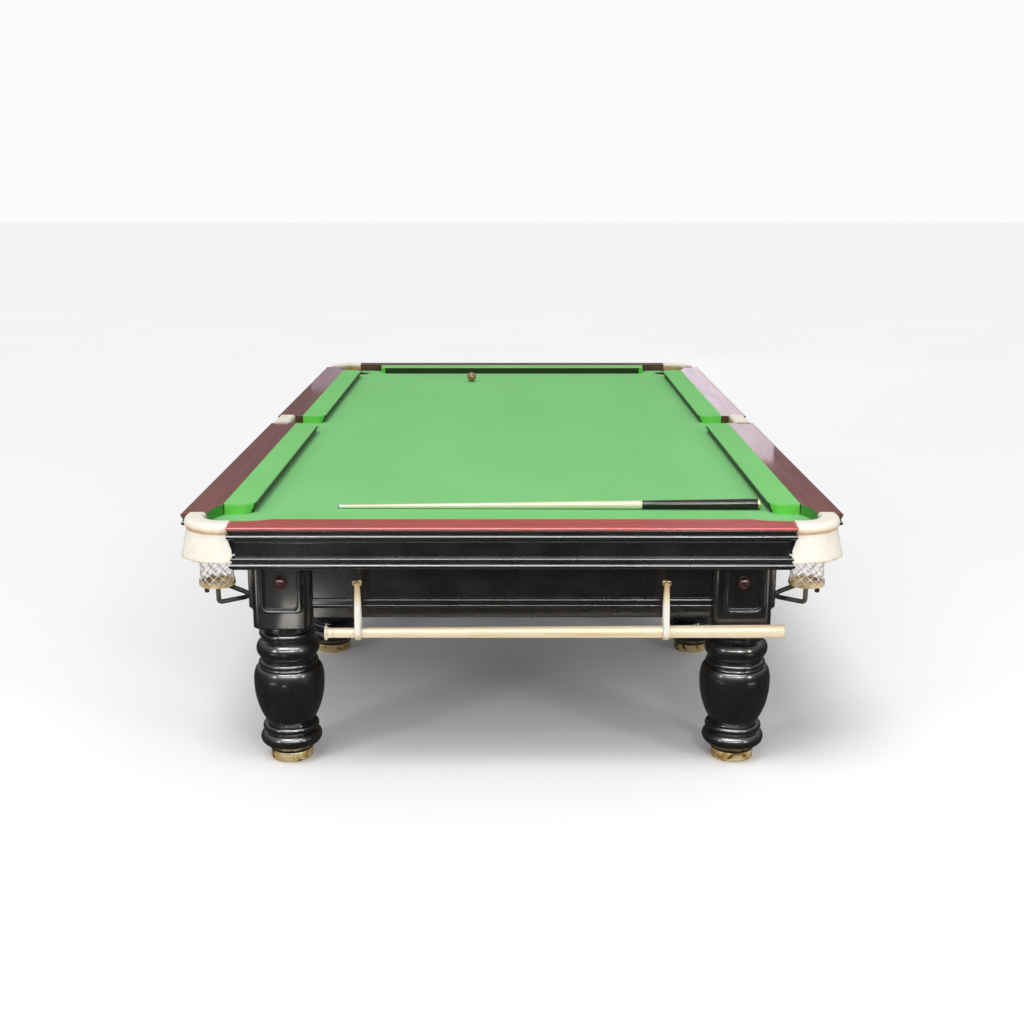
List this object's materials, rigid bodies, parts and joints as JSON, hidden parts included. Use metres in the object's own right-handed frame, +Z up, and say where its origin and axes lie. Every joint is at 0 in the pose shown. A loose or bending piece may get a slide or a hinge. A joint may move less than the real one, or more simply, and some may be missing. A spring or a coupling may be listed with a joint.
{
  "type": "snooker table",
  "caption": "Full-size snooker table with turned legs, slate bed, netted pockets, a hanging stick, a cue and a ball.",
  "frame": {"origin": "on the floor under the middle of the table", "axes": "+X across the table, +Y along it away from the viewer, +Z up"},
  "size_m": [2.222, 4.013, 0.8758],
  "materials": {
    "mahogany": "reddish mahogany under high-gloss lacquer",
    "cushion_cloth": "green napped wool cloth over rubber",
    "black_lacquer": "black high-gloss lacquer on turned and moulded hardwood",
    "slate": null,
    "bed_cloth": "green napped wool cloth, brushed one way",
    "cream_leather": "padded cream leather, tanned along its folds",
    "net_cord": "knotted white cord with a tan leather band at its foot",
    "black_iron": "black satin paint on bent rod",
    "brass": "polished brass with worn patches",
    "beam_wood": "plain sawn timber",
    "cap_wood": "dark red gloss lacquer on turned caps",
    "hook_brass": "polished brass wire",
    "strap_leather": "pale leather strap, brown at both ends",
    "stick_wood": "pale ash under clear lacquer",
    "cue_wood": "pale ash shaft spliced into a black butt",
    "ball_resin": "polished tan-brown resin"
  },
  "bodies": {
    "table": {"rail_front": "mahogany", "rail_back": "mahogany", "rail_left_front": "mahogany", "rail_left_back": "mahogany", "rail_right_front": "mahogany", "rail_right_back": "mahogany", "cushion_front": "cushion_cloth", "cushion_back": "cushion_cloth", "cushion_left_front": "cushion_cloth", "cushion_left_back": "cushion_cloth", "cushion_right_front": "cushion_cloth", "cushion_right_back": "cushion_cloth", "apron_front": "black_lacquer", "apron_back": "black_lacquer", "apron_left": "black_lacquer", "apron_right": "black_lacquer", "slate_1": "slate", "slate_2": "slate", "slate_3": "slate", "slate_4": "slate", "slate_5": "slate", "bed_cloth": "bed_cloth", "pocket_leather_front_left": "cream_leather", "pocket_leather_front_right": "cream_leather", "pocket_leather_back_left": "cream_leather", "pocket_leather_back_right": "cream_leather", "pocket_leather_middle_left": "cream_leather", "pocket_leather_middle_right": "cream_leather", "net_front_left": "net_cord", "net_front_right": "net_cord", "net_back_left": "net_cord", "net_back_right": "net_cord", "net_middle_left": "net_cord", "net_middle_right": "net_cord", "net_brackets": "black_iron", "leg_1_left": "black_lacquer", "leg_1_right": "black_lacquer", "leg_2_left": "black_lacquer", "leg_2_right": "black_lacquer", "leg_3_left": "black_lacquer", "leg_3_right": "black_lacquer", "leg_4_left": "black_lacquer", "leg_4_right": "black_lacquer", "frame_rails": "black_lacquer", "cross_beams": "beam_wood", "bolt_caps": "cap_wood", "hooks": "hook_brass"},
    "foot_1_left": {"foot_1_left": "brass"},
    "foot_1_right": {"foot_1_right": "brass"},
    "foot_2_left": {"foot_2_left": "brass"},
    "foot_2_right": {"foot_2_right": "brass"},
    "foot_3_left": {"foot_3_left": "brass"},
    "foot_3_right": {"foot_3_right": "brass"},
    "foot_4_left": {"foot_4_left": "brass"},
    "foot_4_right": {"foot_4_right": "brass"},
    "loop_left": {"loop_left": "strap_leather"},
    "loop_right": {"loop_right": "strap_leather"},
    "rest_stick": {"rest_stick": "stick_wood"},
    "cue": {"cue": "cue_wood"},
    "ball": {"ball": "ball_resin"}
  },
  "joints": [
    {"name": "foot_1_left_level", "type": "slide", "parent": "table", "child": "foot_1_left", "axis": [0, 0, -1], "range_m": [0, 0.02]},
    {"name": "foot_1_right_level", "type": "slide", "parent": "table", "child": "foot_1_right", "axis": [0, 0, -1], "range_m": [0, 0.02]},
    {"name": "foot_2_left_level", "type": "slide", "parent": "table", "child": "foot_2_left", "axis": [0, 0, -1], "range_m": [0, 0.02]},
    {"name": "foot_2_right_level", "type": "slide", "parent": "table", "child": "foot_2_right", "axis": [0, 0, -1], "range_m": [0, 0.02]},
    {"name": "foot_3_left_level", "type": "slide", "parent": "table", "child": "foot_3_left", "axis": [0, 0, -1], "range_m": [0, 0.02]},
    {"name": "foot_3_right_level", "type": "slide", "parent": "table", "child": "foot_3_right", "axis": [0, 0, -1], "range_m": [0, 0.02]},
    {"name": "foot_4_left_level", "type": "slide", "parent": "table", "child": "foot_4_left", "axis": [0, 0, -1], "range_m": [0, 0.02]},
    {"name": "foot_4_right_level", "type": "slide", "parent": "table", "child": "foot_4_right", "axis": [0, 0, -1], "range_m": [0, 0.02]},
    {"name": "loop_left_swing", "type": "hinge", "parent": "table", "child": "loop_left", "pos_m": [-0.508, -1.9625, 0.655], "axis": [-1, 0, 0], "range_deg": [0, 60]},
    {"name": "loop_right_swing", "type": "hinge", "parent": "table", "child": "loop_right", "pos_m": [0.508, -1.9625, 0.655], "axis": [-1, 0, 0], "range_deg": [0, 60]},
    {"name": "rest_stick_slide", "type": "slide", "parent": "loop_left", "child": "rest_stick", "axis": [-1, 0, 0], "range_m": [-0.08, 1.43]},
    {"name": "cue_lift", "type": "slide", "parent": "table", "child": "cue", "axis": [0, 0, 1], "range_m": [0, 0.15]},
    {"name": "ball_lift", "type": "slide", "parent": "table", "child": "ball", "axis": [0, 0, 1], "range_m": [0, 0.15]}
  ],
  "couplings": [
    {"joint": "loop_right_swing", "follows": "loop_left_swing", "ratio": 1}
  ]
}
